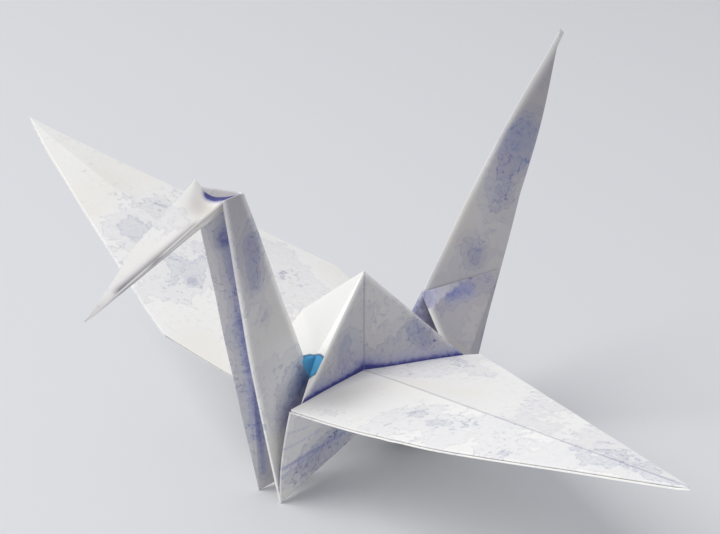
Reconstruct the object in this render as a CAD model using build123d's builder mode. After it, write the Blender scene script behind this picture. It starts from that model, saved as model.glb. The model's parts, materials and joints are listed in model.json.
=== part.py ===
from build123d import *
import os

os.makedirs("parts", exist_ok=True)

# A paper crane folded from one square sheet. The neck points to -X, the tail to +X,
# the near wing to -Y and the far wing to +Y. The body stands on its four lower corners.

# The sheet
ply = 0.12                  # one thickness of the paper

# The body: the crown is the middle of the sheet, pulled up to a peak
crown_height = 32.2
hinge_height = 16.9         # the fold where each wing leaves the body
peak_reach = 1.2            # the middle of that fold, at the wing's centre crease
peak_half_width = 3.2
peak_height = 17.8
front_corner_reach = 17.5   # wing root corner on the neck side
front_corner_half_width = 4.6
back_corner_reach = 16.9    # wing root corner on the tail side
back_corner_half_width = 7.7
front_foot_reach = 15.2     # lower corner on the neck side
front_foot_half_width = 2.3
back_foot_reach = 19.1      # lower corner on the tail side
near_back_foot_width = 6.4
far_back_foot_width = 3.0
valley_reach = 1.6          # the inner walls meet on two valleys that end here
front_valley_height = 3.2
back_valley_height = 5.4
notch_reach = 1.5           # the front of the lower body laps past the middle to here
notch_half_width = 1.2
notch_height = 5.5
far_fold_bow = 0.8          # the hump's far front fold bows out and up by these
far_fold_rise = 2.6

# The wings, each a kite of two plies that is widest at its shoulders.
# A shoulder is given by two shares: of the wing's length, and of the root's half width.
near_tip_shift = -12.2      # along X
near_tip_reach = 64.2
near_tip_height = 31.7
near_front_shoulder = (0.33, 0.895)
near_back_shoulder = (0.01, 1.135)
far_tip_shift = -13.0
far_tip_reach = 63.3
far_tip_height = 38.7
far_shoulder = (0.21, 1.15)
turned_corner = 0.41        # the turned-under corner stops this share short of the crease
turned_length = 0.9         # and runs this share of the way out to the shoulder

# The neck, an open channel whose spine faces the body
head_spine_reach = 26.0
head_spine_height = 49.6
head_lip_reach = 30.9
head_lip_height = 50.0
near_lip_half_width = 1.6
far_lip_half_width = 4.7
beak_reach = 47.4
beak_side = 3.9
beak_height = 35.5
beak_swell = 0.77           # the far edge of the beak bows up and out by this much

# The tail, the same channel turned the other way, with a loose collar at its root
tail_reach = 47.8
tail_side = 5.7
tail_height = 61.3
collar_on_spine = 0.357     # share of the spine's length at the collar's top
collar_on_lip = 0.42        # the same on the open edge
collar_drop = 0.25          # the collar leaves the body this share below the hinge

panel_plies = 4             # neck, tail and lower body are four plies thick
hump_plies = 1
wing_plies = 2
knot_share = 0.75           # a crushed corner's radius, as a share of the panel's thickness


def panel(plies, *corners):
    """Add a flat piece of sheet through the corners, its folds and points rounded over."""
    a, b, c = corners[:3]
    thickness = plies * ply
    plane = Plane(origin=a, x_dir=b - a, z_dir=(b - a).cross(c - a))
    flat = [plane.to_local_coords(corner) for corner in corners]
    with BuildSketch(plane) as outline:
        Polygon(*[(point.X, point.Y) for point in flat], align=None)
        offset(amount=thickness / 2)
    extrude(outline.sketch, amount=thickness / 2, both=True)


def between(start, end, share):
    """The point at this share of the way from start to end."""
    return start + (end - start) * share


crown = Vector(0, 0, crown_height)
front_valley = Vector(-valley_reach, 0, front_valley_height)
back_valley = Vector(valley_reach, 0, back_valley_height)
spine_top = Vector(-head_spine_reach, 0, head_spine_height)
beak_tip = Vector(-beak_reach, beak_side, beak_height)
tail_tip = Vector(tail_reach, tail_side, tail_height)

with BuildPart() as paper_crane:
    for side in (-1, 1):
        near = side < 0
        front = Vector(-front_corner_reach, side * front_corner_half_width, hinge_height)
        back = Vector(back_corner_reach, side * back_corner_half_width, hinge_height)
        middle = Vector(-peak_reach, side * peak_half_width, peak_height)
        back_foot_width = near_back_foot_width if near else far_back_foot_width
        front_foot = Vector(-front_foot_reach, side * front_foot_half_width, 0)
        back_foot = Vector(back_foot_reach, side * back_foot_width, 0)
        notch = Vector(notch_reach, side * notch_half_width, notch_height)

        # The hump: one ply, creased down its middle,
        # and the inner walls that run from its slanting edges down to the valleys
        panel(hump_plies, crown, middle, back)
        panel(hump_plies, crown, back, back_valley)
        if near:
            panel(hump_plies, crown, front, middle)
            panel(hump_plies, crown, front, front_valley)
        else:
            front_fold = between(crown, front, 0.5)
            front_fold += Vector(0, far_fold_bow, far_fold_rise)
            for inner in (middle, front_valley):
                panel(hump_plies, crown, front_fold, inner)
                panel(hump_plies, front_fold, front, inner)

        # The lower body: the sheet doubled over itself, open along the middle below
        panel(panel_plies, front, front_foot, notch)
        panel(panel_plies, back, back_foot, back_valley)

        # The wing: two halves that meet on the centre crease, each two plies thick,
        # with the corners of the root turned under
        if near:
            tip = Vector(near_tip_shift, -near_tip_reach, near_tip_height)
            shoulders = ((front, near_front_shoulder), (back, near_back_shoulder))
        else:
            tip = Vector(far_tip_shift, far_tip_reach, far_tip_height)
            shoulders = ((front, far_shoulder), (back, far_shoulder))
        for corner, (out, spread) in shoulders:
            shoulder = middle + (tip - middle) * out + (corner - middle) * spread
            panel(wing_plies, middle, corner, shoulder, tip)
            turned_inner = between(middle, corner, turned_corner)
            turned_outer = between(corner, shoulder, turned_length)
            panel(panel_plies, corner, turned_outer, turned_inner)

        # The neck wall, folded up inside the front of the body
        lip_half_width = near_lip_half_width if near else far_lip_half_width
        lip = Vector(-head_lip_reach, side * lip_half_width, head_lip_height)
        panel(panel_plies, front_foot, front_valley, spine_top)
        panel(panel_plies, front_foot, spine_top, lip)

        # The beak, folded down inside the head. It opens upwards.
        beak_edge = between(lip, beak_tip, 0.5)
        if not near:
            beak_edge += Vector(0, beak_swell, beak_swell)
        panel(panel_plies, lip, spine_top, beak_edge)
        panel(panel_plies, spine_top, beak_tip, beak_edge)

        # The tail wall, and the loose collar that the body's corner makes round it
        panel(panel_plies, back_foot, back_valley, tail_tip)
        collar_top = between(back_valley, tail_tip, collar_on_spine)
        collar_lip = between(back_foot, tail_tip, collar_on_lip)
        collar_root = between(back, back_foot, collar_drop)
        panel(wing_plies, collar_root, collar_top, collar_lip)
        panel(wing_plies, collar_root, collar_lip, back_foot)

    # Where many folds meet, the crushed paper makes a small round knot
    with Locations(crown):
        Sphere(hump_plies * ply)
    with Locations(spine_top):
        Sphere(panel_plies * ply * knot_share)

# The origin is on the table, under the middle of the crane
box = paper_crane.part.bounding_box()
middle_of_foot = Vector(box.center().X, box.center().Y, box.min.Z)
crane = paper_crane.part.moved(Location(-middle_of_foot))
crane.label = "paper_crane"
print("origin moved by", [round(value, 3) for value in -middle_of_foot])

export_step(crane, "parts/paper_crane.step")
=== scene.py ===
# %% [markdown]
# # A folded paper crane
# The crane is one square of thin paper, 150 mm on a side, washed with watery violet and blue
# paint before it was folded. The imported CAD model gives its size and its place. This scene
# builds the same folded corners again as thin sheets of paper, with soft folds and small waves,
# and gives them the paper's finish.

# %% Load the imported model
import json
import math

import bmesh
import bpy
from mathutils import Matrix, Vector, noise

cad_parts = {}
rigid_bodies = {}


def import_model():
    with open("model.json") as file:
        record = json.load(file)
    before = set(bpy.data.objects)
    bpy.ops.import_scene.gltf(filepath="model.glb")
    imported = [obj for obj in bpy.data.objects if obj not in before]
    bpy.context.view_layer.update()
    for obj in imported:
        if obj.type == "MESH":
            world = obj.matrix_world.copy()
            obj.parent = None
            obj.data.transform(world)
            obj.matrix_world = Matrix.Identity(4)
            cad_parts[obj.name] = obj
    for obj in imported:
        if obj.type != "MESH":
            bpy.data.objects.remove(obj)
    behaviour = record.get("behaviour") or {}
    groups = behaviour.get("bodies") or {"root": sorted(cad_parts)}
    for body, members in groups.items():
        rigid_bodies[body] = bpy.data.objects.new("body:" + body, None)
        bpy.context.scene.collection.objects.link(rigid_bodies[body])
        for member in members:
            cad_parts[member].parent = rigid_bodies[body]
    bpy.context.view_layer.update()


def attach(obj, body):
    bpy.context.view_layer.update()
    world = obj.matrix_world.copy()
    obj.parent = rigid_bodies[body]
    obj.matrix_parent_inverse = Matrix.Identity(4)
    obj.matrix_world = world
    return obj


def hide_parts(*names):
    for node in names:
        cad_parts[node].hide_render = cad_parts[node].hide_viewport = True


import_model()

# %% [markdown]
# ## The camera
# It looks down on the crane from the neck side, at the angle of the photograph. Its place and
# turn were found by matching the folded corners. Lengths in this script are in millimetres,
# turned to metres by one factor.

# %% The camera
MM = 0.001
IMAGE_WIDTH = 720
FOCAL_PIXELS = 1631.474
SENSOR_WIDTH = 36
NEAREST_SEEN = 10
CAMERA_PLACE = Vector((-165.768, -141.198, 125.686))
CAMERA_TURN = math.radians(-49.277)
CAMERA_TILT = math.radians(23.021)
CAMERA_ROLL = math.radians(6.797)

backward = Vector((math.sin(CAMERA_TURN) * math.cos(CAMERA_TILT),
                   -math.cos(CAMERA_TURN) * math.cos(CAMERA_TILT), math.sin(CAMERA_TILT)))
sideways = Vector((math.cos(CAMERA_TURN), math.sin(CAMERA_TURN), 0))
upward = backward.cross(sideways)
camera_x = sideways * math.cos(CAMERA_ROLL) + upward * math.sin(CAMERA_ROLL)
camera_y = upward * math.cos(CAMERA_ROLL) - sideways * math.sin(CAMERA_ROLL)

camera_data = bpy.data.cameras.new("camera")
camera_data.sensor_width = SENSOR_WIDTH
camera_data.lens = FOCAL_PIXELS * SENSOR_WIDTH / IMAGE_WIDTH
camera_data.clip_start = NEAREST_SEEN * MM
camera = bpy.data.objects.new("camera", camera_data)
camera_frame = Matrix((camera_x, camera_y, backward)).transposed().to_4x4()
camera.matrix_world = Matrix.Translation(CAMERA_PLACE * MM) @ camera_frame
bpy.context.scene.collection.objects.link(camera)
bpy.context.scene.camera = camera
print("lens", round(camera_data.lens, 2), "mm")

# %% [markdown]
# ## Where the paper's corners are
# Origami is all in its corners: once the folded corners are placed, each panel between them is
# almost flat. Most numbers are the CAD source's own, in millimetres, with the neck towards -X
# and the near side towards -Y. A few are this scene's: the saddle, where the two front inner
# walls meet in a shallow valley, the collar's top and root, which sit a little lower and
# further forward, and the feet, which reach lower because the finished paper is thinner than
# the CAD's panels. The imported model's origin is on the table below the middle of the crane, so
# all corners move by one small shift.

# %% The corners of the body, the neck and the tail
PLY = 0.12
SHIFT = Vector((-0.181, 0.445, 0.300))
FOOT = -0.26
HINGE_FOLD_SHARE = 0.14
FAR_FOLD_BOW = Vector((0, 0.8, 2.6))


def between(start, end, share):
    """The point at this share of the way from start to end."""
    return start + (end - start) * share


corner = {
    "crown": Vector((0, 0, 32.2)),
    "front_valley": Vector((-1.6, 0, 3.2)),
    "saddle": Vector((-10.0, -1.5, 22.0)),
    "back_valley": Vector((1.6, 0, 5.4)),
    "spine_top": Vector((-26.0, 0, 49.6)),
    "beak_tip": Vector((-47.4, 3.9, 35.5)),
    "tail_tip": Vector((47.8, 5.7, 61.3)),
    "near_lip": Vector((-30.9, -1.6, 50.0)),
    "far_lip": Vector((-30.9, 4.7, 50.0)),
    "near_tip": Vector((-12.2, -64.2, 31.7)),
    "far_tip": Vector((-13.0, 63.3, 38.7)),
    "near_back_foot": Vector((19.1, -6.4, FOOT)),
    "far_back_foot": Vector((19.1, 3.0, FOOT)),
}
for side, sign in (("near", -1), ("far", 1)):
    corner[side + "_front"] = Vector((-17.5, sign * 4.6, 16.9))
    corner[side + "_back"] = Vector((16.9, sign * 7.7, 16.9))
    corner[side + "_middle"] = Vector((-1.2, sign * 3.2, 17.8))
    corner[side + "_front_foot"] = Vector((-15.2, sign * 2.3, FOOT))
    corner[side + "_notch"] = Vector((1.5, sign * 1.2, 5.5))
corner["near_hinge_front"] = between(corner["near_front"], corner["near_middle"],
                                     HINGE_FOLD_SHARE)
corner["far_fold"] = between(corner["crown"], corner["far_front"], 0.5) + FAR_FOLD_BOW
print(len(corner), "corners of the body, the neck and the tail")

# %% [markdown]
# ## The corners that follow from others
# A wing's shoulders, the turned-under corners at its root, the middle of the beak's edges and
# the collar all lie at some share of the way along an edge that is placed already. A shoulder
# has two shares: how far out along the wing, and how far across its root.

# %% The corners of the wings, the beak and the collar
SHOULDER_SHARES = {"near_front": (0.33, 0.895), "near_back": (0.01, 1.135),
                   "far_front": (0.21, 1.15), "far_back": (0.21, 1.15)}
TURNED_IN_SHARE = 0.41
TURNED_OUT_SHARE = 0.9
COLLAR_DROP_SHARE = 0.25
COLLAR_SPINE_SHARE = 0.333
COLLAR_LIP_SHARE = 0.42
TAIL_LIP_SHARE = 0.6
BEAK_SWELL = Vector((0, 0.77, 0.77))
COLLAR_TOP_MOVE = Vector((-0.9, -0.1, 0))
COLLAR_ROOT_MOVE = Vector((-0.9, 0, 0))

for root, (out, spread) in SHOULDER_SHARES.items():
    side = root.split("_")[0]
    middle, tip = corner[side + "_middle"], corner[side + "_tip"]
    shoulder = middle + (tip - middle) * out + (corner[root] - middle) * spread
    corner[root + "_shoulder"] = shoulder
    corner[root + "_turned_in"] = between(middle, corner[root], TURNED_IN_SHARE)
    corner[root + "_turned_out"] = between(corner[root], shoulder, TURNED_OUT_SHARE)
for side in ("near", "far"):
    foot, lip = corner[side + "_back_foot"], corner[side + "_lip"]
    valley, tip = corner["back_valley"], corner["tail_tip"]
    corner[side + "_beak_edge"] = between(lip, corner["beak_tip"], 0.5)
    corner[side + "_collar_root"] = between(corner[side + "_back"], foot, COLLAR_DROP_SHARE)
    corner[side + "_collar_top"] = between(valley, tip, COLLAR_SPINE_SHARE)
    corner[side + "_collar_lip"] = between(foot, tip, COLLAR_LIP_SHARE)
corner["far_beak_edge"] += BEAK_SWELL
corner["near_collar_top"] += COLLAR_TOP_MOVE
corner["near_collar_root"] += COLLAR_ROOT_MOVE
corner["tail_lip_high"] = between(corner["near_back_foot"], corner["tail_tip"], TAIL_LIP_SHARE)
print(len(corner), "corners of the folded sheet")


def where(spot):
    """The place of a corner that is given by its name, or of a point given by its numbers."""
    return corner[spot] if isinstance(spot, str) else Vector(spot)


# %% [markdown]
# ## Unfolding a panel
# The stains must run across the folds, because the paper was painted while it was flat. So each
# group of panels is laid flat again: the first panel is put down at a spot on the sheet, and
# each next one is hinged out along the fold that it shares. The flat places become the UV map
# named "sheet", where 1 is the sheet's whole side.

# %% Lay panels flat
SHEET = 150.0


def panel_frame(names, first, second):
    """The frame of a folded panel: an origin, an axis along one edge, an axis into the panel."""
    origin = corner[first]
    along = (corner[second] - origin).normalized()
    inside = sum((corner[name] for name in names), Vector()) / len(names) - origin
    across = (inside - along * inside.dot(along)).normalized()
    return origin, along, across


def unfold(point, folded, laid):
    """Take a point of a panel from its frame in the folded crane to its frame on the sheet."""
    origin, along, across = folded
    flat_origin, flat_along, flat_across = laid
    step = point - origin
    return flat_origin + flat_along * step.dot(along) + flat_across * step.dot(across)


def lay_flat(panels, spot):
    """Unfold the panels from a spot on the sheet, and give each one's folded and laid frame."""
    frames = [None] * len(panels)
    first, second = panels[0][:2]
    frames[0] = (panel_frame(panels[0], first, second),
                 (Vector(spot), Vector((1, 0)), Vector((0, 1))))
    waiting = [0]
    while waiting:
        index = waiting.pop(0)
        flat = {name: unfold(corner[name], *frames[index]) for name in panels[index]}
        for other, names in enumerate(panels):
            shared = [name for name in names if name in panels[index]]
            if frames[other] is None and len(shared) == 2:
                start, end = (flat[name] for name in shared)
                along = (end - start).normalized()
                across = Vector((-along.y, along.x))
                centre = sum(flat.values(), Vector((0, 0))) / len(flat)
                if (centre - start).dot(across) > 0:
                    across = -across
                frames[other] = (panel_frame(names, *shared), (start, along, across))
                waiting.append(other)
    return frames


# %% [markdown]
# ## Soft bends
# Paper that was wet once never lies quite flat: a slow noise moves every point a little, and
# the seed makes it the same on every run. Where the crane was pressed or pulled while it was
# folded, a dent pushes the paper round one place, and a bow curves an edge between two corners.
# A cloth simulation could make such bends too, but it would soften the folds as well.

# %% Bends
WAVE = 0.12
WAVE_LENGTH = 11.0
NOISE_SEED = 5
noise.seed_set(NOISE_SEED)


def line_distance(point, start, end):
    """How far a point is from a line's nearest point, and that point's share of the line."""
    along = end - start
    share = 0.0
    if along.length > 0:
        share = min(1.0, max(0.0, (point - start).dot(along) / along.length_squared))
    return (start + along * share - point).length, share


def dent(spot, radius, push):
    """A bend that pushes the paper round one place."""
    place, push = where(spot), Vector(push)
    return lambda point: push * math.exp(-((point - place).length / radius) ** 2)


def bow(start, end, push, reach):
    """A bend that bows an edge between two corners outwards."""
    def bend(point):
        distance, share = line_distance(point, corner[start], corner[end])
        return Vector(push) * 4 * share * (1 - share) * math.exp(-(distance / reach) ** 2)
    return bend


# %% [markdown]
# ## Where the paint is strong
# The paint's outlines come from noise in the material, but where it is strong is painted on the
# mesh. A group of panels has a ground level of each paint, and stains: a paint, a line's two
# ends, a radius, an amount, and the side of the crane that takes it. Some stains are painted
# shade or painted highlight. A negative amount takes paint off; along the folded edges that is
# a painted highlight, which keeps them paler. Four paints are kept in one colour attribute:
# violet wash, navy, which is both navy stains and painted shade in the folds, teal, and painted
# shade, a grey that darkens the walls turned from the light. A second attribute marks the creases.

# %% Paint and creases
PAINTS = ("violet", "navy", "teal", "painted_shade")
NEAR, BOTH, FAR = -1, 0, 1


def paint_at(point, stains_and_painted_light, ground):
    """The four paints at a point, from the group's ground level and its stains and painted light.
    """
    levels = [ground.get(name, 0.0) for name in PAINTS]
    for name, start, end, radius, amount, side in stains_and_painted_light:
        if side and point.y * side < 0:
            continue
        distance = line_distance(point, where(start), where(end))[0]
        levels[PAINTS.index(name)] += amount * math.exp(-(distance / radius) ** 2)
    return [max(0.0, level) for level in levels]


def crease_at(point, creases):
    """The crease's strength on its line, and 0 from a millimetre away."""
    near = [strength - line_distance(point, corner[start], corner[end])[0]
            for start, end, strength in creases]
    return max([0.0] + near)


# %% [markdown]
# ## From corners to paper
# A group starts as a few corners and faces. All edges are cut into short parts, so that the
# mesh is fine enough to bend and to hold the paint. Solidify then gives the sheet its plies,
# the plies are drawn together at a tip, so that it ends in a point, and a small bevel softens
# the rim, because a folded edge of paper is never a square corner. Plain flat boxes would be
# quicker, but they look like card. A group's lift off the panels under it is counted in plies,
# and its inside paint, the painted shade in the neck's slit, is painted on the back of the
# sheet only.

# %% Start, refine and map a group
PINCH_REACH = 1.3


def start_panels(panels, up):
    """A new mesh with one face for each panel, all turned the way that up points."""
    part = bmesh.new()
    part.loops.layers.uv.new("sheet")
    panel_id = part.faces.layers.int.new("panel")
    part.verts.layers.float_color.new("wash")
    part.verts.layers.float.new("crease")
    points = {name: part.verts.new(corner[name]) for name in sorted(set(sum(panels, ())))}
    for index, names in enumerate(panels):
        part.faces.new([points[name] for name in names])[panel_id] = index
    bmesh.ops.recalc_face_normals(part, faces=part.faces[:])
    if part.faces[:][0].normal.dot(Vector(up)) < 0:
        bmesh.ops.reverse_faces(part, faces=part.faces[:])
    return part


def refine(part, cell):
    """Cut all edges into as many parts as make the longest one as short as the cell."""
    longest = max(edge.calc_length() for edge in part.edges)
    bmesh.ops.subdivide_edges(part, edges=part.edges[:], cuts=math.ceil(longest / cell) - 1,
                              use_grid_fill=True)
    bmesh.ops.triangulate(part, faces=part.faces[:])


def map_sheet(part, panels, spot):
    """Write every point's place on the flat sheet into the UV map."""
    panel_id = part.faces.layers.int["panel"]
    sheet = part.loops.layers.uv["sheet"]
    frames = lay_flat(panels, spot)
    for face in part.faces:
        for loop in face.loops:
            loop[sheet].uv = unfold(loop.vert.co, *frames[face[panel_id]]) / SHEET


def pinch(part, tip, centre):
    """Draw the plies together towards a tip, so that it ends in a point."""
    axis = (centre - tip).normalized()
    for vert in part.verts:
        step = vert.co - tip
        along = axis * step.dot(axis)
        if step.length < PINCH_REACH:
            vert.co = tip + along + (step - along) * math.sqrt(step.length / PINCH_REACH)


# %% Fold one group into the crane
RIM_ANGLE = math.radians(70)
RIM_SHARE = 0.25


def soften_rim(part, thickness):
    """Bevel the sharp edges that the sheet's thickness makes."""
    rim = [edge for edge in part.edges
           if edge.is_manifold and edge.calc_face_angle() > RIM_ANGLE]
    bmesh.ops.bevel(part, geom=rim, offset=thickness * RIM_SHARE, segments=1, affect="EDGES",
                    profile=0.5, material=-1, clamp_overlap=True)


def fold(bm, panels, spot, plies, up, ground, cell=1.6, lift=0.0, bends=(), stains_and_painted_light=(),
         inside=(), creases=()):
    """Add a group of panels to the crane, with its plies, bends, paint, creases and rim."""
    part = start_panels(panels, up)
    refine(part, cell)
    map_sheet(part, panels, spot)
    wash = part.verts.layers.float_color["wash"]
    crease = part.verts.layers.float["crease"]
    for vert in part.verts:
        start = vert.co.copy()
        vert[wash] = paint_at(start, stains_and_painted_light, ground)
        vert[crease] = crease_at(start, creases)
        for bend in bends:
            vert.co += bend(start)
        vert.co += noise.noise_vector(start / WAVE_LENGTH) * WAVE
    part.normal_update()

    thickness = plies * PLY
    for vert in part.verts:
        vert.co += vert.normal * (lift * PLY + thickness / 2)
    outer_count = len(part.verts)
    bmesh.ops.solidify(part, geom=part.faces[:], thickness=thickness)
    part.verts.ensure_lookup_table()
    if inside:
        for vert in part.verts[outer_count:]:
            vert[wash] = paint_at(vert.co, [*stains_and_painted_light, *inside], ground)

    names = sorted(set(sum(panels, ())))
    centre = sum((corner[name] for name in names), Vector()) / len(names)
    for name in names:
        if name.endswith("_tip"):
            bent = sum((bend(corner[name]) for bend in bends), Vector())
            pinch(part, corner[name] + bent, centre)
    part.normal_update()
    if plies > 1:
        soften_rim(part, thickness)

    mesh = bpy.data.meshes.new("group")
    part.to_mesh(mesh)
    part.free()
    bm.from_mesh(mesh)
    bpy.data.meshes.remove(mesh)


# %% [markdown]
# ## The hump
# The middle of the square is pulled up to a peak, the crown, and one ply runs from there down
# to the near wing's hinge, with a crease down its middle. Its slanting edges are folds, and a
# painted highlight makes them pale. Along the hinge lies a painted shadow: a thin navy line with
# a wider and fainter one round it, and violet above both. The grey ground is painted shade.

# %% The hump
crane_mesh = bmesh.new()
hump = [("crown", "near_hinge_front", "near_middle"), ("crown", "near_middle", "near_back")]
hump_stains_and_painted_light = [
    # Painted highlight: paler paper along the slanting folds.
    ("painted_shade", "crown", "near_hinge_front", 0.5, -0.9, BOTH),
    ("violet", "crown", "near_hinge_front", 0.5, -0.5, BOTH),
    ("painted_shade", "crown", "near_back", 0.4, -0.6, BOTH),
    ("violet", (8.2, -4.3, 22.8), (9.8, -4.9, 21), 1.8, 0.38, BOTH),
    ("violet", (-5, -3, 24), (-6, -3.5, 21), 1.6, 0.2, BOTH),
    # Painted shadow along the hinge: navy lines and violet above them.
    ("navy", "near_front", "near_middle", 0.6, 0.9, BOTH),
    ("navy", "near_middle", "near_back", 0.6, 0.8, BOTH),
    ("navy", "near_front", "near_middle", 2.2, 0.42, BOTH),
    ("navy", "near_middle", "near_back", 2.0, 0.34, BOTH),
    ("violet", "near_front", "near_middle", 6, 0.25, BOTH),
    ("violet", "near_middle", "near_back", 6, 0.22, BOTH),
]
fold(crane_mesh, hump, spot=(75, 75), plies=1, up=(0, -1, 0), cell=0.8,
     ground={"violet": 0.24, "painted_shade": 0.88}, stains_and_painted_light=hump_stains_and_painted_light,
     creases=[("crown", "near_middle", 1.0)])
print("hump:", len(crane_mesh.faces), "faces")

# %% [markdown]
# ## The inner walls and the hump's far side
# From the hump's slanting edges the sheet turns down into the body. The neck side is open in
# front, and a teal drop shows there on the bright inner walls. A solid hump would be simpler to
# make, but it would close that opening. The hump's far side, which the camera doesn't see, is
# in the same group.

# %% The inner walls and the far side
inner_walls = [
    ("crown", "near_hinge_front", "saddle"), ("near_hinge_front", "saddle", "front_valley"),
    ("crown", "far_fold", "saddle"), ("far_fold", "far_front", "saddle"),
    ("far_front", "saddle", "front_valley"),
    ("crown", "far_middle", "far_fold"), ("far_middle", "far_front", "far_fold"),
    ("crown", "far_back", "far_middle"), ("crown", "back_valley", "far_back"),
    ("crown", "near_back", "back_valley"),
]
inner_stains_and_painted_shade = [
    ("teal", (-10.4, -1.0, 19.3), (-9.6, -2.2, 19.6), 3.0, 1.2, BOTH),
    # Painted shade: violet in the shaded back of the body, by the tail's root.
    ("violet", "back_valley", (16, 4, 18), 6, 0.4, BOTH),
]
fold(crane_mesh, inner_walls, spot=(75, 75), plies=1, up=(-1, -1, 1), cell=1.0,
     ground={"violet": 0.0, "painted_shade": 0.0}, stains_and_painted_light=inner_stains_and_painted_shade)
print("with the inner walls:", len(crane_mesh.faces), "faces")

# %% [markdown]
# ## The wings
# A wing is a kite of two halves that meet on a centre crease, each of pressed plies. One thick
# sheet would do from afar, but the photograph shows a second edge below the near wing's front
# edge, so the lowest ply is a sheet of its own that stands a little proud there. The corners of
# the root are turned under, and they are pulled in a little so that they stay hidden from
# above.

# %% The wings' bends and paint
UNDER_PLY_STEP = Vector((-0.22, 0, 0))
WING_FRONT = -6
wing_bends = {
    "near": [dent("near_front_shoulder", 9, (0.2, 0.25, 0.3)),
             dent("near_front_shoulder", 3.5, (0.12, 0.25, 0.1))],
    "far": [bow("far_front_shoulder", "far_tip", (-0.4, 0, -0.1), 5),
            bow("far_middle", "far_tip", (-0.5, 0, -0.3), 6)],
}
# The grey in the wings' grounds is painted shade.
wing_ground = {"near": {"violet": 0.16, "painted_shade": 0.05}, "far": {"violet": 0.18, "painted_shade": 0.10}}
wing_stains_and_painted_light = {
    "near": [("violet", (-13, -24, 22.8), (-13.2, -36, 25), 6, 0.20, BOTH),
             # Painted shadow of the hump across the near wing's root.
             ("painted_shade", (-12, -7.5, 18), (-3, -6, 18), 4.5, 0.5, BOTH),
             ("violet", (-12, -52, 29), (-12, -60, 31), 5, 0.20, BOTH),
             ("violet", (2, -10, 18.5), (9, -14, 19), 4, 0.16, BOTH)],
    # Painted light: grey taken off the far wing's back half, which lies in shade.
    "far": [("painted_shade", (2, 25, 25), (8, 16, 21), 7, -0.1, BOTH),
            ("violet", (-11.5, 23.5, 24.3), (-11.5, 23.6, 24.3), 1.1, 0.45, BOTH),
            ("violet", (-14, 36, 28), (-10, 47, 32), 5, 0.16, BOTH),
            # Painted shade: a faint violet on the far wing's back half.
            ("violet", (2, 25, 25), (6, 17, 21), 5, 0.05, BOTH)],
}


def under_ply(point):
    """The under ply stands a little proud of the wing's front edge."""
    return UNDER_PLY_STEP if point.x < WING_FRONT else Vector()


# %% Fold the wings
UNDER_LIFT = -2.6
TURNED_LIFT = -4.4
TURNED_INWARDS = 0.5
WHOLE_ROOT = 60
UNDER_ROW = 300
wing_spots = {"near": (20, 10), "far": (110, 20)}
wing_creases = {"near": 1.0, "far": 0.82}

for side in ("near", "far"):
    bends, ground = wing_bends[side], wing_ground[side]
    wing = [(side + "_middle", side + "_front", side + "_front_shoulder", side + "_tip"),
            (side + "_middle", side + "_tip", side + "_back_shoulder", side + "_back")]
    fold(crane_mesh, wing, spot=wing_spots[side], plies=2, up=(0, 0, 1), ground=ground,
         stains_and_painted_light=wing_stains_and_painted_light[side], bends=bends,
         creases=[(side + "_middle", side + "_tip", wing_creases[side])])
    under_bends = bends + ([under_ply] if side == "near" else [])
    fold(crane_mesh, wing, spot=(wing_spots[side][0], UNDER_ROW), plies=1, up=(0, 0, 1),
         cell=2.4, lift=UNDER_LIFT, bends=under_bends, ground=ground)
    for end, inwards in (("_front", TURNED_INWARDS), ("_back", -TURNED_INWARDS)):
        root = side + end
        turned = [(root, root + "_turned_out", root + "_turned_in")]
        # The grey ground of the turned corners is painted shade.
        fold(crane_mesh, turned, spot=(30, 200), plies=2, up=(0, 0, 1), lift=TURNED_LIFT,
             bends=bends + [dent(root, WHOLE_ROOT, (inwards, 0, 0))],
             ground={"violet": 0.3, "painted_shade": 0.3})
print("with the wings:", len(crane_mesh.faces), "faces")

# %% [markdown]
# ## The lower body
# Below the wings the sheet is doubled over itself, and its four low corners are what the crane
# stands on. The near front panel has thin streaks of navy over a patch of violet. Its mesh is
# finer than the others, because a streak is under a millimetre wide.

# %% The lower body
front_stains = [
    ("violet", (-13.5, -2.5, 4.2), (-2, -1.8, 9.5), 2.2, 0.34, NEAR),
    ("violet", (1.5, -1.2, 5.5), (-8, -1.8, 3), 3.0, 0.2, NEAR),
    ("navy", (-16.1, -3.2, 6.4), (-2.5, -1.8, 7.2), 0.4, 0.5, NEAR),
    ("navy", (-16.3, -3.0, 4.7), (-7.4, -2.3, 6.4), 0.3, 0.35, NEAR),
    ("navy", (-16.7, -3.7, 10.1), (-9.4, -2.9, 10.1), 0.25, 0.35, NEAR),
    ("navy", (-16.5, -4.0, 12.8), (-12.3, -3.5, 12.1), 0.25, 0.3, NEAR),
]
# The grey grounds of the low panels are painted shade; the navy streaks above are stains.
for side, out in (("near", -1), ("far", 1)):
    front_bends = [bow(side + "_front", side + "_front_foot", (-0.7, 0, 0), 4),
                   dent(side + "_front", 3, (-0.1, 0, -0.2))]
    fold(crane_mesh, [(side + "_front", side + "_front_foot", side + "_notch")],
         spot=(60, 130), plies=3, up=(0, out, 0), cell=0.6,
         ground={"violet": 0.26, "painted_shade": 0.38}, bends=front_bends, stains_and_painted_light=front_stains)
    fold(crane_mesh, [(side + "_back", side + "_back_foot", "back_valley")],
         spot=(90, 140), plies=3, up=(0, out, 0), ground={"violet": 0.3, "painted_shade": 0.8})
print("with the lower body:", len(crane_mesh.faces), "faces")

# %% [markdown]
# ## The neck
# The neck is a channel: two walls of pressed plies that share a folded spine on the body's side
# and stand open in front. A folded strip is the natural way to make it, because the dark slit
# between the walls then comes from the shape. Navy and violet painted shade darken the slit more,
# on the inside only, and the grey ground is painted shade.

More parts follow.
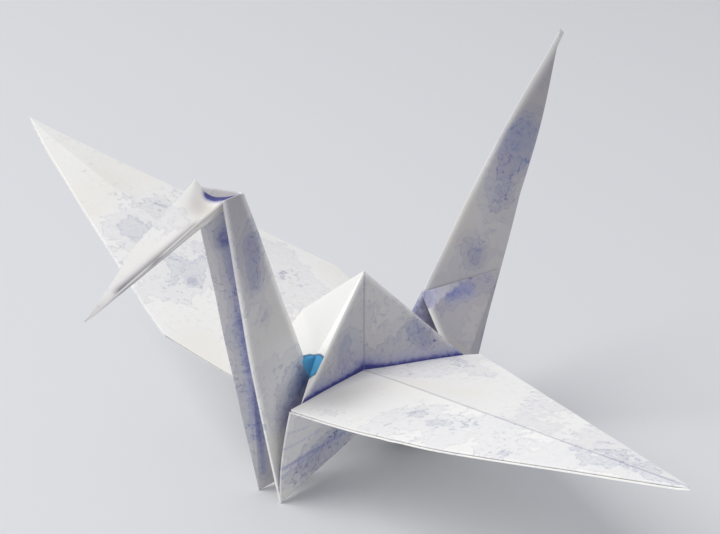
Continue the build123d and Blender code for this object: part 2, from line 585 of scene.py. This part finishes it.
# %% The neck
neck = [("near_front_foot", "front_valley", "spine_top"),
        ("near_front_foot", "spine_top", "near_lip"),
        ("front_valley", "spine_top", "far_front_foot"),
        ("far_front_foot", "spine_top", "far_lip")]
neck_stains_and_painted_light = [
    # Painted highlights: paler lines along the near wall's front edge and the spine.
    ("painted_shade", "near_front_foot", "near_lip", 0.6, -0.8, NEAR),
    ("painted_shade", "front_valley", "spine_top", 0.6, -0.8, BOTH),
    # Painted shade: darker towards the top of the near wall.
    ("painted_shade", "spine_top", "near_lip", 12, 0.45, NEAR),
    # Painted light: grey taken off low on the near wall, to lighten the shade there.
    ("painted_shade", (-12.5, -0.6, 17), (-17, -1.5, 9), 7, -0.75, NEAR),
    ("violet", (-11.6, -0.3, 18.6), (-15.2, -1, 15.6), 2.8, 0.3, NEAR),
    ("navy", (-10.6, -0.3, 17.0), (-14.2, -1, 13.6), 3.0, 0.58, NEAR),
    ("violet", (-24.2, -0.7, 42), (-22.9, -0.7, 36.5), 2.0, 0.4, NEAR),
    ("violet", (-20.5, -0.7, 31), (-20.3, -0.7, 30.5), 1.6, 0.3, NEAR),
    ("violet", (-26.6, 2.4, 42.9), (-26.6, 2.4, 42.0), 1.2, 0.6, FAR),
    ("violet", (-24, 1.8, 38), (-20, 1.8, 24), 2.2, 0.2, FAR),
]
# Painted shade in the slit between the walls, on the inside of the far wall only.
slit_painted_shade = [
    ("navy", (-26.9, 1.8, 46.1), (-22.4, 1.8, 29.6), 1.0, 0.3, FAR),
    ("navy", (-22.4, 1.8, 29.6), (-15.1, 1.3, 3.5), 0.7, 0.55, FAR),
    ("violet", (-26.9, 1.8, 46.1), (-15.1, 1.3, 3.5), 2.2, 0.3, FAR),
]
fold(crane_mesh, neck, spot=(10, 60), plies=3, up=(0, -1, 0), cell=1.0,
     ground={"violet": 0.24, "painted_shade": 0.75}, stains_and_painted_light=neck_stains_and_painted_light, inside=slit_painted_shade,
     bends=[bow("near_front_foot", "near_lip", (-0.5, 0, 0), 2.5)])
print("with the neck:", len(crane_mesh.faces), "faces")

# %% [markdown]
# ## The beak
# The top of the same strip is folded down inside the head, so the beak is a narrower channel
# that opens upwards. Folding it crumples the head: two dents and a bow stand for that, and a
# third dent bends the beak's tip. The thin grey lines are painted shade in the slits along the
# plies inside it, and a navy and a grey mark are painted shade in the head's crumple.

# %% The beak
beak = [("near_lip", "spine_top", "near_beak_edge"),
        ("spine_top", "beak_tip", "near_beak_edge"),
        ("spine_top", "beak_tip", "far_beak_edge"),
        ("far_lip", "spine_top", "far_beak_edge")]
beak_bends = [dent((-31, 1.2, 48.5), 2.2, (0.2, 0.5, -0.9)),
              dent("far_lip", 2.4, (0.35, -0.4, 0.9)),
              bow("far_lip", "spine_top", (-0.2, 0.2, -1.1), 1.6),
              dent("beak_tip", 3, (-0.45, 0.1, -0.3))]
beak_painted_shade_and_stains = [
    ("violet", (-34, 2, 47), (-36, 2, 46), 2, 0.25, BOTH),
    # Painted shade: grey lines along the beak and its lower edge, and in the crumple.
    ("painted_shade", (-32.4, 1.5, 45.8), (-43, 3.3, 38.6), 0.6, 1.3, BOTH),
    ("painted_shade", "near_lip", "near_beak_edge", 1.2, 0.6, BOTH),
    ("painted_shade", "near_beak_edge", "beak_tip", 1.0, 0.6, BOTH),
    ("painted_shade", (-30.5, 1.0, 48.2), (-32, 2.2, 48.6), 1.3, 0.6, BOTH),
    # Painted shade: navy in the crumple at the top of the head.
    ("navy", (-29.4, 3.0, 49.7), (-26.9, 1.0, 49.7), 0.8, 1.2, BOTH),
]
fold(crane_mesh, beak, spot=(130, 60), plies=2, up=(0, -1, 0), cell=0.8,
     ground={"violet": 0.18, "painted_shade": 0.16}, bends=beak_bends, stains_and_painted_light=beak_painted_shade_and_stains)
print("with the beak:", len(crane_mesh.faces), "faces")

# %% [markdown]
# ## The tail
# The tail is the neck's channel turned the other way, with nothing folded at its tip. Its long
# edges bow a little, as they do where the plies were pressed unevenly. Navy painted shade lies at
# its root, in front of the collar, with the grey taken off so that it stays a light blue. The
# grey ground and the paler spine are painted shade and painted highlight.

# %% The tail
tail = [("near_back_foot", "back_valley", "tail_tip"), ("back_valley", "tail_tip", "far_back_foot")]
tail_bends = [bow("near_collar_top", "tail_tip", (-0.5, 0.5, 0), 2.5),
              bow("tail_lip_high", "tail_tip", (0.8, -0.1, 0), 2.2),
              bow("near_back_foot", "tail_tip", (0.5, 0, 0), 2.5)]
tail_stains_and_painted_light = [
    # Painted shade: darker towards the tail's tip.
    ("painted_shade", "tail_tip", (40, 3.5, 50), 8, 0.35, BOTH),
    # Painted highlight: paler paper along the spine.
    ("painted_shade", "near_collar_top", "tail_tip", 0.8, -0.9, BOTH),
    ("violet", "near_collar_top", "tail_tip", 0.8, -0.5, BOTH),
    ("violet", (37.5, 3.4, 46), (33, 1.6, 37), 3.6, 0.42, BOTH),
    ("violet", (25.6, 1.0, 30.8), (27, 1, 28), 2.3, 0.45, BOTH),
    # Painted shade at the root: light navy, with the grey taken off.
    ("navy", (14.6, 1.9, 22.5), (17.2, 0.5, 19), 3.0, 0.6, BOTH),
    ("painted_shade", (14.6, 1.9, 22.5), (17.2, 0.5, 19), 2.8, -1.4, BOTH),
]
fold(crane_mesh, tail, spot=(60, 10), plies=3, up=(0, -1, 0), cell=1.0,
     ground={"violet": 0.24, "painted_shade": 1.0}, bends=tail_bends, stains_and_painted_light=tail_stains_and_painted_light)
print("with the tail:", len(crane_mesh.faces), "faces")

# %% [markdown]
# ## The collar
# The corners of the body lap loosely round the root of the tail, one on each side. They are
# two plies thick and stand off the tail by the plies that lie between. Their grey ground is
# painted shade, the paler edge at the root is a painted highlight, and the navy on the far side
# is painted shade.

# %% The collar
COLLAR_LIFT = 1.6
collar_stains_and_painted_light = [
    # Painted highlight: paler paper along the near collar's root edge.
    ("painted_shade", "near_collar_root", "near_collar_top", 0.6, -1.1, NEAR),
    ("violet", "near_collar_root", "near_collar_top", 0.6, -0.5, NEAR),
    ("violet", (21.1, 0.6, 23.2), (28, -1.2, 23.6), 2.4, 0.35, NEAR),
    ("navy", (20.4, 0.6, 23.4), (24.5, -0.2, 22.8), 1.5, 0.5, NEAR),
    # Painted shade: light navy on the far collar, with the grey taken off.
    ("painted_shade", (15.5, 3.0, 22.5), (17.6, 4.0, 17), 5.0, -1.2, FAR),
    ("navy", (15.5, 3.0, 22.5), (17.6, 4.0, 17), 5.0, 0.6, FAR),
]
for side, out, spot in (("near", -1, (20, 120)), ("far", 1, (140, 120))):
    collar = [(side + "_collar_root", side + "_collar_top", side + "_collar_lip"),
              (side + "_collar_root", side + "_collar_lip", side + "_back_foot")]
    fold(crane_mesh, collar, spot=spot, plies=2, up=(0, out, 0), cell=1.0, lift=COLLAR_LIFT,
         ground={"violet": 0.32, "painted_shade": 1.15}, stains_and_painted_light=collar_stains_and_painted_light)
print("with the collar:", len(crane_mesh.faces), "faces")

# %% [markdown]
# ## One sheet
# The real crane is one sheet, so all groups are one piece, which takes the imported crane's
# place. Its faces are smooth, and its folds stay sharp because they turn by more than a set
# angle.

# %% The finished piece
FOLD_ANGLE = math.radians(35)

for vert in crane_mesh.verts:
    vert.co = (vert.co + SHIFT) * MM
crane_data = bpy.data.meshes.new("paper_crane_sheet")
crane_mesh.to_mesh(crane_data)
crane_mesh.free()
for polygon in crane_data.polygons:
    polygon.use_smooth = True
crane_data.set_sharp_from_angle(angle=FOLD_ANGLE)
crane = bpy.data.objects.new("paper_crane_sheet", crane_data)
bpy.context.scene.collection.objects.link(crane)
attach(crane, "root")
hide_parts("paper_crane")
print("crane:", len(crane_data.vertices), "points,", len(crane_data.polygons), "faces")

# %% [markdown]
# ## Colours and nodes
# Colours are written as sRGB hex, as one picks them from a paint card, and turned to the linear
# values that the renderer counts in. One small function adds a node, sets it, links it and, on
# a colour ramp, puts in the stops. A Mix node of colours has its two colours on inputs 6 and 7
# and its result on output 2.

# %% Colour and node helpers
MIX_A, MIX_B, MIX_RESULT = 6, 7, 2


def linear(code):
    """Turn an sRGB hex colour into linear RGBA."""
    values = [int(code[start:start + 2], 16) / 255 for start in (1, 3, 5)]
    return [v / 12.92 if v <= 0.04045 else ((v + 0.055) / 1.055) ** 2.4 for v in values] + [1.0]


def plain(strength):
    """A strength from 0 to 1 as an even colour, for ramps that give a strength and not a colour."""
    return (strength, strength, strength, 1.0)


def add_node(tree, kind, inputs=None, stops=(), **settings):
    """Add a node, set its properties and stops, and give its inputs a value or a link."""
    node = tree.nodes.new(kind)
    for name, value in settings.items():
        setattr(node, name, value)
    for name, value in (inputs or {}).items():
        if isinstance(value, bpy.types.NodeSocket):
            tree.links.new(value, node.inputs[name])
        else:
            node.inputs[name].default_value = value
    if stops:
        elements = node.color_ramp.elements
        elements[0].position, elements[0].color = stops[0]
        elements[1].position, elements[1].color = stops[-1]
        for position, colour in stops[1:-1]:
            elements.new(position).color = colour
    return node


# %% [markdown]
# ## Watercolour on thin paper
# Uncoated paper scatters light evenly and has almost no shine, so it looks matt and soft. The
# patterns lie on the flat sheet, and each scale below is a real size in millimetres. A slow
# flow noise pushes the wash noises about, because wet paint wanders over the paper.

# %% The flat sheet's coordinates
FLOW = 7
FLOW_REACH = 6
BROAD_WASH = 19
SMALL_WASH = 6
CURL = 1.1

paper = bpy.data.materials.new("watercolour_paper_with_painted_shade")
paper.use_nodes = True
tree = paper.node_tree
shader = tree.nodes["Principled BSDF"]
shader.inputs["Roughness"].default_value = 0.75
shader.inputs["Specular IOR Level"].default_value = 0.3
sheet_map = add_node(tree, "ShaderNodeUVMap", uv_map="sheet")
sheet_mm = add_node(tree, "ShaderNodeVectorMath", {0: sheet_map.outputs[0], 1: (SHEET,) * 3},
                    operation="MULTIPLY")
flow = add_node(tree, "ShaderNodeTexNoise",
                {"Vector": sheet_mm.outputs[0], "Scale": 1 / FLOW, "Detail": 4,
                 "Roughness": 0.6})
pushed = add_node(tree, "ShaderNodeVectorMath",
                  {0: flow.outputs["Color"], 1: (FLOW_REACH,) * 3, 2: sheet_mm.outputs[0]},
                  operation="MULTIPLY_ADD")
broad = add_node(tree, "ShaderNodeTexNoise",
                 {"Vector": pushed.outputs[0], "Scale": 1 / BROAD_WASH, "Detail": 2,
                  "Roughness": 0.5})
small = add_node(tree, "ShaderNodeTexNoise",
                 {"Vector": pushed.outputs[0], "Scale": 1 / SMALL_WASH, "Detail": 3,
                  "Roughness": 0.55})
curl = add_node(tree, "ShaderNodeTexNoise",
                {"Vector": sheet_mm.outputs[0], "Scale": 1 / CURL, "Detail": 2})
print("paper:", len(tree.nodes), "nodes so far")

# %% [markdown]
# ## How strong the violet wash is
# The painted violet level and three noises are added up, each noise counted from its middle,
# so that it thins the wash as often as it thickens it. Watery paint dries from the edge
# inwards, so each wash is pale inside and has a thin darker rim. A ramp with terraces gives
# that: each step of the level is one wash over another, and starts with its rim.

# %% The violet wash
RIMS = ((0.0, 0.0), (0.20, 0.02), (0.237, 0.04), (0.25, 0.19), (0.27, 0.09), (0.375, 0.12),
        (0.39, 0.36), (0.415, 0.21), (0.55, 0.30), (0.566, 0.56), (0.59, 0.40), (0.8, 0.55),
        (1.0, 0.85))
BROAD_GAIN = 1.1
SMALL_GAIN = 0.5
CURL_GAIN = 0.18

# The wash attribute holds violet, navy with painted shade, teal, and painted shade in its alpha.
wash_map = add_node(tree, "ShaderNodeVertexColor", layer_name="wash")
paints = add_node(tree, "ShaderNodeSeparateColor", {"Color": wash_map.outputs["Color"]})
violet, navy, teal = (paints.outputs[name] for name in ("Red", "Green", "Blue"))
painted_shade = wash_map.outputs["Alpha"]
broad_part = add_node(tree, "ShaderNodeMath",
                      {0: broad.outputs["Fac"], 1: BROAD_GAIN, 2: -BROAD_GAIN / 2},
                      operation="MULTIPLY_ADD")
small_part = add_node(tree, "ShaderNodeMath",
                      {0: small.outputs["Fac"], 1: SMALL_GAIN, 2: -SMALL_GAIN / 2},
                      operation="MULTIPLY_ADD")
curl_part = add_node(tree, "ShaderNodeMath",
                     {0: curl.outputs["Fac"], 1: CURL_GAIN, 2: -CURL_GAIN / 2},
                     operation="MULTIPLY_ADD")
outline = add_node(tree, "ShaderNodeMath", {0: broad_part.outputs[0], 1: small_part.outputs[0]})
wiggled = add_node(tree, "ShaderNodeMath", {0: outline.outputs[0], 1: curl_part.outputs[0]})
level = add_node(tree, "ShaderNodeMath", {0: wiggled.outputs[0], 1: violet}, use_clamp=True)
terraces = add_node(tree, "ShaderNodeValToRGB", {"Fac": level.outputs[0]},
                    stops=[(position, plain(strength)) for position, strength in RIMS])
print("violet wash:", len(RIMS), "stops")

# %% [markdown]
# ## Cells in the wash
# Where drops of water ran into each other on the wet paint they left small cells with thin
# dark outlines. The edges of a Voronoi pattern are such outlines, once they are curled and
# broken here and there. They come in patches, and are darker where the wash is.

# %% Cells
DRIED_CELL = 1.5
CELL_GAIN = 1.2
CELL_CURL = 1.6
CELL_PATCH = 8

curled = add_node(tree, "ShaderNodeVectorMath",
                  {0: curl.outputs["Color"], 1: (CELL_CURL,) * 3, 2: pushed.outputs[0]},
                  operation="MULTIPLY_ADD")
cells = add_node(tree, "ShaderNodeTexVoronoi",
                 {"Vector": curled.outputs[0], "Scale": 1 / DRIED_CELL},
                 feature="DISTANCE_TO_EDGE")
cell_line = add_node(tree, "ShaderNodeMapRange",
                     {"Value": cells.outputs["Distance"], "From Min": 0.0, "From Max": 0.10,
                      "To Min": 1.0, "To Max": 0.0}, interpolation_type="SMOOTHSTEP")
cell_gaps = add_node(tree, "ShaderNodeMapRange",
                     {"Value": curl.outputs["Fac"], "From Min": 0.47, "From Max": 0.58,
                      "To Min": 0.0, "To Max": 1.0})
cell_area = add_node(tree, "ShaderNodeTexNoise",
                     {"Vector": sheet_mm.outputs[0], "Scale": 1 / CELL_PATCH, "Detail": 1})
cell_share = add_node(tree, "ShaderNodeMapRange",
                      {"Value": cell_area.outputs["Fac"], "From Min": 0.42, "From Max": 0.62,
                       "To Min": 0.1, "To Max": 0.75})
cell_wash = add_node(tree, "ShaderNodeMath", {0: level.outputs[0], 1: CELL_GAIN},
                     operation="MULTIPLY")
broken_line = add_node(tree, "ShaderNodeMath",
                       {0: cell_line.outputs[0], 1: cell_gaps.outputs[0]},
                       operation="MULTIPLY")
cell_strength = add_node(tree, "ShaderNodeMath",
                         {0: cell_share.outputs[0], 1: cell_wash.outputs[0]},
                         operation="MULTIPLY")
cell_ink = add_node(tree, "ShaderNodeMath",
                    {0: broken_line.outputs[0], 1: cell_strength.outputs[0]},
                    operation="MULTIPLY")
print("cells of", DRIED_CELL, "mm")

# %% [markdown]
# ## Grain and drops
# Pigment settles in the paper's small hollows, which gives every wash a fine grain. Here and
# there a round drop fell on the wet sheet and left a disc with a rim. A sparse Voronoi pattern
# places the drops, and a random number for each keeps only some of them.

# %% Grain and drops
GRAIN = 0.9
DROP_SPACING = 13.0
DROPS_LEFT_OUT = 0.62
DROP_RIM = ((0.0, 0.22), (0.052, 0.30), (0.064, 0.34), (0.068, 0.0), (1.0, 0.0))

grain = add_node(tree, "ShaderNodeTexNoise",
                 {"Vector": sheet_mm.outputs[0], "Scale": 1 / GRAIN, "Detail": 3,
                  "Roughness": 0.7})
grain_gain = add_node(tree, "ShaderNodeMapRange",
                      {"Value": grain.outputs["Fac"], "From Min": 0.3, "From Max": 0.7,
                       "To Min": 0.8, "To Max": 1.22})
grainy = add_node(tree, "ShaderNodeMath",
                  {0: terraces.outputs["Color"], 1: grain_gain.outputs[0]},
                  operation="MULTIPLY")
wash_ink = add_node(tree, "ShaderNodeMath", {0: grainy.outputs[0], 1: cell_ink.outputs[0]},
                    use_clamp=True)
drops = add_node(tree, "ShaderNodeTexVoronoi",
                 {"Vector": sheet_mm.outputs[0], "Scale": 1 / DROP_SPACING,
                  "Randomness": 0.9})
drop_ink = add_node(tree, "ShaderNodeValToRGB", {"Fac": drops.outputs["Distance"]},
                    stops=[(position, plain(strength)) for position, strength in DROP_RIM])
drop_pick = add_node(tree, "ShaderNodeSeparateColor", {"Color": drops.outputs["Color"]})
drop_some = add_node(tree, "ShaderNodeMath",
                     {0: drop_pick.outputs["Red"], 1: DROPS_LEFT_OUT},
                     operation="GREATER_THAN")
drop_share = add_node(tree, "ShaderNodeMath",
                      {0: drop_ink.outputs["Color"], 1: drop_some.outputs[0]},
                      operation="MULTIPLY")
ink = add_node(tree, "ShaderNodeMath", {0: wash_ink.outputs[0], 1: drop_share.outputs[0]},
               use_clamp=True)
print("drops every", DROP_SPACING, "mm, and most are left out")

# %% [markdown]
# ## The paper's own tone and the painted shade
# Bare paper is an almost white cream, a little warmer in some broad areas. Painted shade greys it
# where the crane is turned from the light, and the violet wash, bluer in places, lies on top.

# %% The paper's tone, the painted shade and the wash on it
PAINTED_SHADE_WEIGHT = 0.5

# Painted shade: the grey level darkens the cream towards a dark grey.
painted_shade_share = add_node(tree, "ShaderNodeMath", {0: painted_shade, 1: PAINTED_SHADE_WEIGHT}, operation="MULTIPLY",
                      use_clamp=True)
painted_shade_tone = add_node(tree, "ShaderNodeMix",
                  {0: painted_shade_share.outputs[0], MIX_A: linear("#fbfaf6"),
                   MIX_B: linear("#5c5262")}, data_type="RGBA")
cream_share = add_node(tree, "ShaderNodeMapRange",
                       {"Value": broad.outputs["Fac"], "From Min": 0.44, "From Max": 0.34,
                        "To Min": 0.0, "To Max": 0.22})
ground_tone = add_node(tree, "ShaderNodeMix",
                       {0: cream_share.outputs[0], MIX_A: painted_shade_tone.outputs[MIX_RESULT],
                        MIX_B: linear("#f4eedb")}, data_type="RGBA", blend_type="MULTIPLY")
wash_hue = add_node(tree, "ShaderNodeValToRGB", {"Fac": small.outputs["Fac"]},
                    stops=[(0.38, linear("#6e6d9c")), (0.62, linear("#6e7ba6"))])
washed = add_node(tree, "ShaderNodeMix",
                  {0: ink.outputs[0], MIX_A: ground_tone.outputs[MIX_RESULT],
                   MIX_B: wash_hue.outputs["Color"]}, data_type="RGBA")
print("paper tone and wash:", len(tree.nodes), "nodes so far")

# %% [markdown]
# ## Navy, painted shade in the folds, and the teal drop
# The navy level holds navy stains and painted shade: the blue shade along the wing's hinge, in
# the neck's slit, at the tail's root and in the head. Its colour follows its strength along a ramp,
# light lavender blue where it is thin and dark where it is strong. The teal drop has a sharp
# outline that the wash noises push about, and a dark rim where it dried.

# %% Navy with painted shade, and teal
# Navy stains and painted shade in the folds share this level.
navy_rough = add_node(tree, "ShaderNodeMath", {0: grain_gain.outputs[0], 1: navy},
                      operation="MULTIPLY")
navy_share = add_node(tree, "ShaderNodeMapRange",
                      {"Value": navy_rough.outputs[0], "From Min": 0.05, "From Max": 0.9,
                       "To Min": 0.0, "To Max": 0.92})
navy_tone = add_node(tree, "ShaderNodeValToRGB", {"Fac": navy_rough.outputs[0]},
                     stops=[(0.0, linear("#a0aae0")), (0.35, linear("#6f78c0")),
                            (0.65, linear("#3c429c")), (1.0, linear("#262a80"))])
navy_stain_and_shade = add_node(tree, "ShaderNodeMix",
                  {0: navy_share.outputs[0], MIX_A: washed.outputs[MIX_RESULT],
                   MIX_B: navy_tone.outputs["Color"]}, data_type="RGBA")
teal_edge = add_node(tree, "ShaderNodeMath", {0: outline.outputs[0], 1: teal})
teal_share = add_node(tree, "ShaderNodeMapRange",
                      {"Value": teal_edge.outputs[0], "From Min": 0.40, "From Max": 0.46,
                       "To Min": 0.0, "To Max": 0.95})
teal_tone = add_node(tree, "ShaderNodeValToRGB", {"Fac": teal_edge.outputs[0]},
                     stops=[(0.45, linear("#0f4f7c")), (0.52, linear("#42abde")),
                            (0.75, linear("#54b8ea")), (1.0, linear("#68c4f0"))])
dropped = add_node(tree, "ShaderNodeMix",
                   {0: teal_share.outputs[0], MIX_A: navy_stain_and_shade.outputs[MIX_RESULT],
                    MIX_B: teal_tone.outputs["Color"]}, data_type="RGBA")
print("navy and teal:", len(tree.nodes), "nodes so far")

# %% [markdown]
# ## Creases and the paper's tooth
# A crease is a thin grey line where the fibres were bent, and it is partly painted shade, the
# shade in the crease's small fold. The tooth of the paper is a fine bump, drawn a little coarser
# than real fibres, so that it shows at all.

# %% Creases and tooth
FIBRE = 0.7
TOOTH_DEPTH = 0.06

crease_map = add_node(tree, "ShaderNodeAttribute", attribute_name="crease")
crease_share = add_node(tree, "ShaderNodeMapRange",
                        {"Value": crease_map.outputs["Fac"], "From Min": 0.72,
                         "From Max": 0.95, "To Min": 0.0, "To Max": 0.4})
creased = add_node(tree, "ShaderNodeMix",
                   {0: crease_share.outputs[0], MIX_A: dropped.outputs[MIX_RESULT],
                    MIX_B: linear("#6f7190")}, data_type="RGBA")
tree.links.new(creased.outputs[MIX_RESULT], shader.inputs["Base Color"])
fibres = add_node(tree, "ShaderNodeTexNoise",
                  {"Vector": sheet_mm.outputs[0], "Scale": 1 / FIBRE, "Detail": 4,
                   "Roughness": 0.65})
tooth = add_node(tree, "ShaderNodeBump",
                 {"Strength": 0.25, "Distance": TOOTH_DEPTH * MM,
                  "Height": fibres.outputs["Fac"]})
tree.links.new(tooth.outputs[0], shader.inputs["Normal"])
crane_data.materials.append(paper)
print(paper.name, "has", len(tree.nodes), "nodes")

# %% [markdown]
# ## The table and the light
# A large table of pale card fills the view. Card is matt, so it takes the crane's shadow softly
# and shows no reflection. The light is one wide soft box, high on the far left, so that the
# tops are bright and the near walls are in soft shade, and a dim even sky.

# %% The table
TABLE_HALF_SIDE = 2000

table_mesh = bmesh.new()
bmesh.ops.create_grid(table_mesh, x_segments=1, y_segments=1, size=TABLE_HALF_SIDE * MM)
table_data = bpy.data.meshes.new("table")
table_mesh.to_mesh(table_data)
table_mesh.free()
table = bpy.data.objects.new("table", table_data)
bpy.context.scene.collection.objects.link(table)
card = bpy.data.materials.new("matt_pale_card")
card.use_nodes = True
card_shader = card.node_tree.nodes["Principled BSDF"]
card_shader.inputs["Base Color"].default_value = linear("#dedfe1")
card_shader.inputs["Roughness"].default_value = 0.9
table_data.materials.append(card)
print("table:", 2 * TABLE_HALF_SIDE, "mm on a side")

# %% The light
SKY_STRENGTH = 0.62
LAMP_SIDE = 700
LAMP_WATTS = 9.0
LAMP_PLACE = Vector((-780, 360, 860))

world = bpy.data.worlds.new("sky")
bpy.context.scene.world = world
world.use_nodes = True
sky = world.node_tree.nodes["Background"]
sky.inputs["Color"].default_value = linear("#f4f5fa")
sky.inputs["Strength"].default_value = SKY_STRENGTH

lamp_data = bpy.data.lights.new("soft_box", "AREA")
lamp_data.shape = "SQUARE"
lamp_data.size = LAMP_SIDE * MM
lamp_data.energy = LAMP_WATTS
lamp = bpy.data.objects.new("soft_box", lamp_data)
lamp_turn = LAMP_PLACE.to_track_quat("Z", "Y").to_matrix().to_4x4()
lamp.matrix_world = Matrix.Translation(LAMP_PLACE * MM) @ lamp_turn
bpy.context.scene.collection.objects.link(lamp)
bpy.context.scene.view_settings.view_transform = "Standard"
print("soft box:", LAMP_WATTS, "watts from", round(LAMP_PLACE.length), "mm away")
